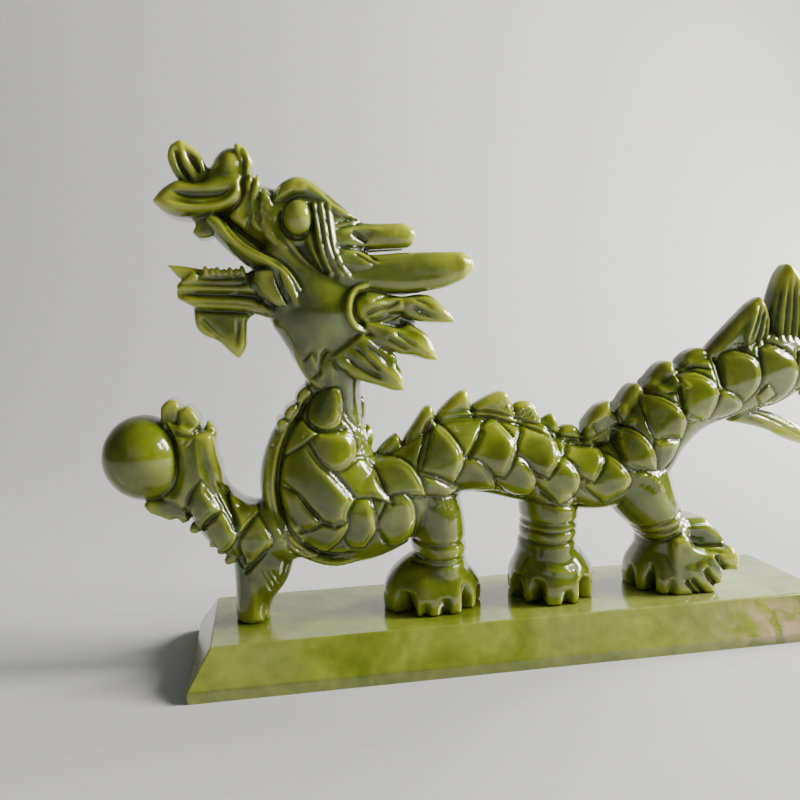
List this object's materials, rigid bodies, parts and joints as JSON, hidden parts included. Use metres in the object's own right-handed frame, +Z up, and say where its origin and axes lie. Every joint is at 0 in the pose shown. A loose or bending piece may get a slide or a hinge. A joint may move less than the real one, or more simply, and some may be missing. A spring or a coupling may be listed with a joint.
{
  "type": "dragon carving",
  "caption": "Carved stone dragon on four feet with a raised forepaw holding a pearl, open jaws, horns, scaled body and flame tail, glued to a low slab plinth with sloped sides.",
  "frame": {"origin": "middle of the plinth's flat underside", "axes": "+X along the plinth from the raised forepaw towards the tail, +Y towards the far side, +Z up"},
  "size_m": [0.2415, 0.054, 0.153],
  "materials": {
    "jade": "polished",
    "pale_jade": "polished"
  },
  "bodies": {
    "root": {"dragon": "jade", "plinth": "pale_jade"}
  },
  "joints": []
}
